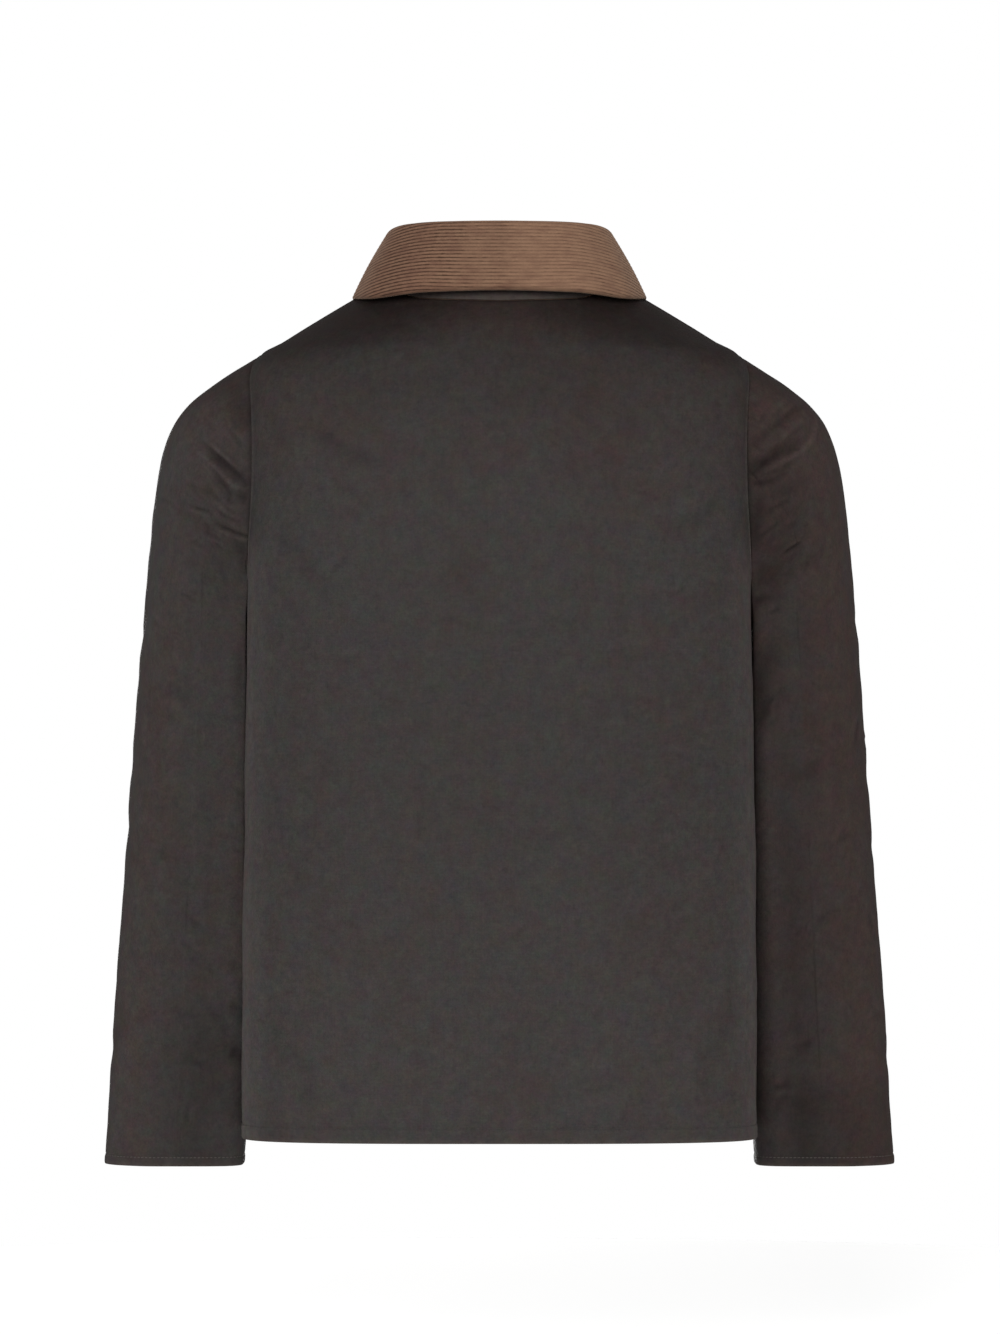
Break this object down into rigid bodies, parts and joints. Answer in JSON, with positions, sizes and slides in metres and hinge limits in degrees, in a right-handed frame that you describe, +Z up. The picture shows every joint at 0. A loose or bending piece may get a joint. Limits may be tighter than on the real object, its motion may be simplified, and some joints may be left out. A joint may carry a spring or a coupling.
{
  "type": "jacket",
  "caption": "Boxy buttoned jacket of dark waxed cotton with set-in sleeves and a turned-down tan corduroy collar, filled out as if worn.",
  "frame": {"origin": "middle of the neck hole, 5 mm above the middle of the back neck seam, where a neck or a hanger holds the jacket up", "axes": "+Z up, from the hem to the collar; +X the wearer's left; -Y the wearer's front, +Y the back"},
  "size_m": [0.6244, 0.2573, 0.7359],
  "materials": {
    "waxed_cotton": "dry wax over a tight plain weave, satin to matt, browner at folds and edges",
    "corduroy": "fine cut pile in wales along the collar, matt",
    "button_resin": "dark brown, softly polished"
  },
  "bodies": {
    "root": {"back": "waxed_cotton", "front_left": "waxed_cotton", "front_right": "waxed_cotton", "sleeve_left": "waxed_cotton", "sleeve_right": "waxed_cotton", "collar_stand": "waxed_cotton", "collar_fall": "corduroy", "button_1": "button_resin", "button_2": "button_resin", "button_3": "button_resin", "button_4": "button_resin", "button_5": "button_resin", "button_6": "button_resin"}
  },
  "joints": []
}
